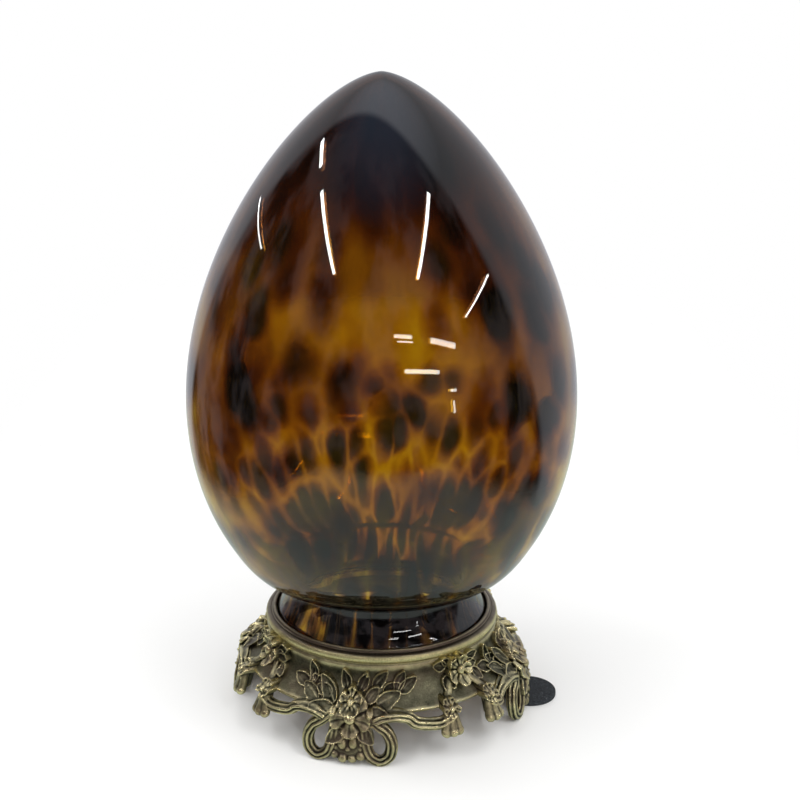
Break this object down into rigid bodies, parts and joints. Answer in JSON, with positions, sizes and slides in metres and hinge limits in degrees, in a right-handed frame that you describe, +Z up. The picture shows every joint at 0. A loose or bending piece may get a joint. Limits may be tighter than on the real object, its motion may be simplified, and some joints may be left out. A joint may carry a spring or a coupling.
{
  "type": "glass egg sculpture on a cast brass stand",
  "caption": "Hollow mottled amber glass egg with a short neck and flared foot, standing in a pierced brass stand cast with flowers, leaves, looped straps and small paws.",
  "frame": {"origin": "on the table, on the vertical axis of the egg and its stand", "axes": "+Z up along the axis of the egg, -Y towards the front bouquet of the stand, +X to the right"},
  "size_m": [0.215, 0.215, 0.3556],
  "materials": {
    "tortoiseshell_glass": "high gloss, mottled amber and dark brown",
    "antique_brass": "satin, dark patina in the hollows, pale rubbed edges",
    "black_felt": "matt, slightly worn"
  },
  "bodies": {
    "root": {"glass_egg": "tortoiseshell_glass", "cast_stand": "antique_brass", "felt_pad": "black_felt"}
  },
  "joints": []
}
